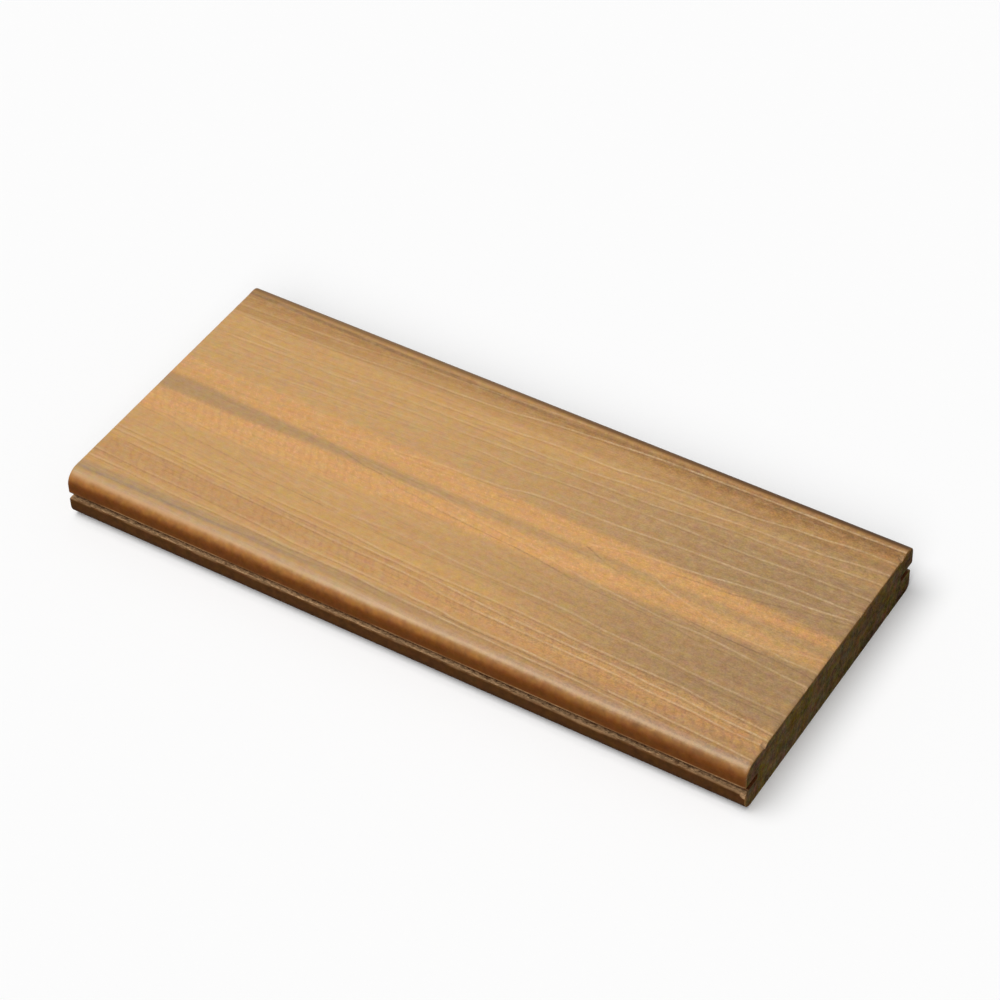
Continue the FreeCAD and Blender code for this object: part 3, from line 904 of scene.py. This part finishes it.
def plain_underside(colours):
    """The underside: core brown with the long drag lines of the die."""
    under = Finish("plain_underside")
    point, along, across, up = under.place()
    drag = under.noise(point, (120, 1.1, 4), 3, 0.6)
    cloud = under.noise(point, (40, 18, 10), 2)
    shade = under.tone(under.mix(0.5 + cloud * 0.3, colours.flank, colours.core),
                       1.0 + drag * 0.1)
    relief = under.bump(drag, 0.05 * MM)
    return under.surface(Base_Color=shade, Roughness=0.7, Normal=relief, Specular_IOR_Level=0.3)


class DECKING_OT_board(bpy.types.Operator):
    """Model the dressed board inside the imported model's box and give it its finishes"""
    bl_idname = "decking.board"
    bl_label = "Dressed Board"

    def execute(self, context):
        sizes = context.scene.decking_sizes
        colours = context.scene.decking_colours
        deselect_objects()
        bpy.ops.mesh.primitive_plane_add(size=1, rotation=(0, math.pi / 2, 0), location=(
            -CAD_SIZE.x / 2, 0, CAD_SIZE.z / 2))
        board = context.object
        board.name = board.data.name = "dressed_board"
        board.scale = (CAD_SIZE.z, CAD_SIZE.y, 1)
        bpy.ops.object.transform_apply(location=True, rotation=True, scale=True)
        bpy.ops.object.mode_set(mode="EDIT")
        make_section(board, sizes)
        run_out(board, sizes)
        bpy.ops.object.mode_set(mode="OBJECT")

        for make_finish in (streaked_cap, milled_groove, sawn_end, plain_underside):
            board.data.materials.append(make_finish(colours))
        share_finishes(board, sizes)
        lay_relief(board, sizes)
        bpy.ops.object.shade_smooth_by_angle(angle=math.radians(35))
        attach(board, "root")
        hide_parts("deck_board")
        return {"FINISHED"}


def studio_white(name, shade, unseen):
    """White to the camera and in reflections, and darker as a source of bounced light."""
    floor = Finish(name)
    seen = None
    for ray in ("Is Camera Ray", "Is Glossy Ray", "Is Transmission Ray"):
        path = floor.node("ShaderNodeLightPath", output=ray)
        seen = path if seen is None else seen.math("MAXIMUM", seen, path)
    bright = floor.node("ShaderNodeBsdfDiffuse", {}, {"Color": shade}.items())
    dim = floor.node("ShaderNodeBsdfDiffuse", {}, {"Color": unseen}.items())
    floor.node_output(floor.node("ShaderNodeMixShader", {}, {0: seen, 1: dim, 2: bright}.items()))
    return floor.material


class DECKING_OT_stage(bpy.types.Operator):
    """Set up the pale floor, the soft overhead lamp, the fill light and the camera"""
    bl_idname = "decking.stage"
    bl_label = "Studio Stage"

    def execute(self, context):
        studio = context.scene.decking_studio
        deselect_objects()
        bpy.ops.mesh.primitive_plane_add(size=2 * studio.floor, location=(0, 0, 0))
        floor = context.object
        floor.name = "studio_floor"
        floor.data.materials.append(
            studio_white("studio_floor", (0.98, 0.98, 0.98, 1), (0.1, 0.09, 0.08, 1)))

        self.hang_lamp("overhead_lamp", studio.lamp, studio.lamp_spread, studio.lamp_lean,
                       studio.lamp_turn)
        self.hang_lamp("front_lamp", studio.front, studio.front_spread, studio.front_lean,
                       studio.front_turn)
        self.light_room(context.scene, studio)
        self.place_camera(context.scene, studio)
        context.scene.view_settings.view_transform = "Standard"
        return {"FINISHED"}

    def hang_lamp(self, name, strength, spread, lean, turn):
        """A soft lamp far off, leaning from the vertical and turned from the near edge."""
        bpy.ops.object.light_add(type="SUN", location=(0, 0, 2), rotation=(lean, 0, turn))
        lamp = bpy.context.object
        lamp.name = name
        lamp.data.energy = strength
        lamp.data.angle = spread

    def light_room(self, scene, studio):
        """White where the camera or a reflection sees it, and a dim fill elsewhere."""
        world = bpy.data.worlds.new("studio_room")
        scene.world = world
        world.use_nodes = True
        nodes, links = world.node_tree.nodes, world.node_tree.links
        nodes.clear()
        path = nodes.new("ShaderNodeLightPath")
        seen = path.outputs["Is Camera Ray"]
        for ray in ("Is Glossy Ray", "Is Transmission Ray"):
            either = nodes.new("ShaderNodeMath")
            either.operation = "MAXIMUM"
            links.new(seen, either.inputs[0])
            links.new(path.outputs[ray], either.inputs[1])
            seen = either.outputs[0]
        level = nodes.new("ShaderNodeMapRange")
        level.inputs["To Min"].default_value = studio.fill
        links.new(seen, level.inputs["Value"])
        light = nodes.new("ShaderNodeBackground")
        links.new(level.outputs[0], light.inputs["Strength"])
        output = nodes.new("ShaderNodeOutputWorld")
        links.new(light.outputs[0], output.inputs["Surface"])

    def place_camera(self, scene, studio):
        bpy.ops.object.camera_add()
        camera = bpy.context.object
        camera.name = "studio_camera"
        turn, rise = studio.azimuth, studio.elevation
        back = Vector((math.sin(turn) * math.cos(rise), -math.cos(turn) * math.cos(rise),
                       math.sin(rise)))
        right = Vector((math.cos(turn), math.sin(turn), 0))
        upward = back.cross(right)
        level = Matrix((right, upward, back)).transposed()
        camera.matrix_world = Matrix.Translation(
            back * studio.distance) @ (level @ Matrix.Rotation(studio.roll, 3, "Z")).to_4x4()
        shifted = camera.matrix_world.to_3x3()
        camera.location += shifted @ Vector((studio.right, studio.rise, 0))
        camera.data.lens = studio.lens
        camera.data.sensor_width = 36
        scene.camera = camera


class DECKING_PT_sidebar(bpy.types.Panel):
    """Lists the board, its sizes and colours, and the stage"""
    bl_idname = "DECKING_PT_sidebar"
    bl_label = "Decking Board"
    bl_space_type = "VIEW_3D"
    bl_region_type = "UI"
    bl_category = "Decking"

    def draw(self, context):
        layout = self.layout
        layout.operator(DECKING_OT_board.bl_idname)
        layout.operator(DECKING_OT_stage.bl_idname)
        for group in (context.scene.decking_sizes, context.scene.decking_colours,
                      context.scene.decking_studio):
            box = layout.box()
            for name in group.__annotations__:
                box.prop(group, name)


CLASSES = (BoardSizes, BoardColours, StudioSettings, DECKING_OT_board, DECKING_OT_stage,
           DECKING_PT_sidebar)


def register():
    for item in CLASSES:
        bpy.utils.register_class(item)
    bpy.types.Scene.decking_sizes = PointerProperty(type=BoardSizes)
    bpy.types.Scene.decking_colours = PointerProperty(type=BoardColours)
    bpy.types.Scene.decking_studio = PointerProperty(type=StudioSettings)


def unregister():
    del bpy.types.Scene.decking_studio
    del bpy.types.Scene.decking_colours
    del bpy.types.Scene.decking_sizes
    for item in reversed(CLASSES):
        bpy.utils.unregister_class(item)


def main():
    register()
    bpy.ops.decking.board()
    bpy.ops.decking.stage()


if __name__ == "__main__":
    main()
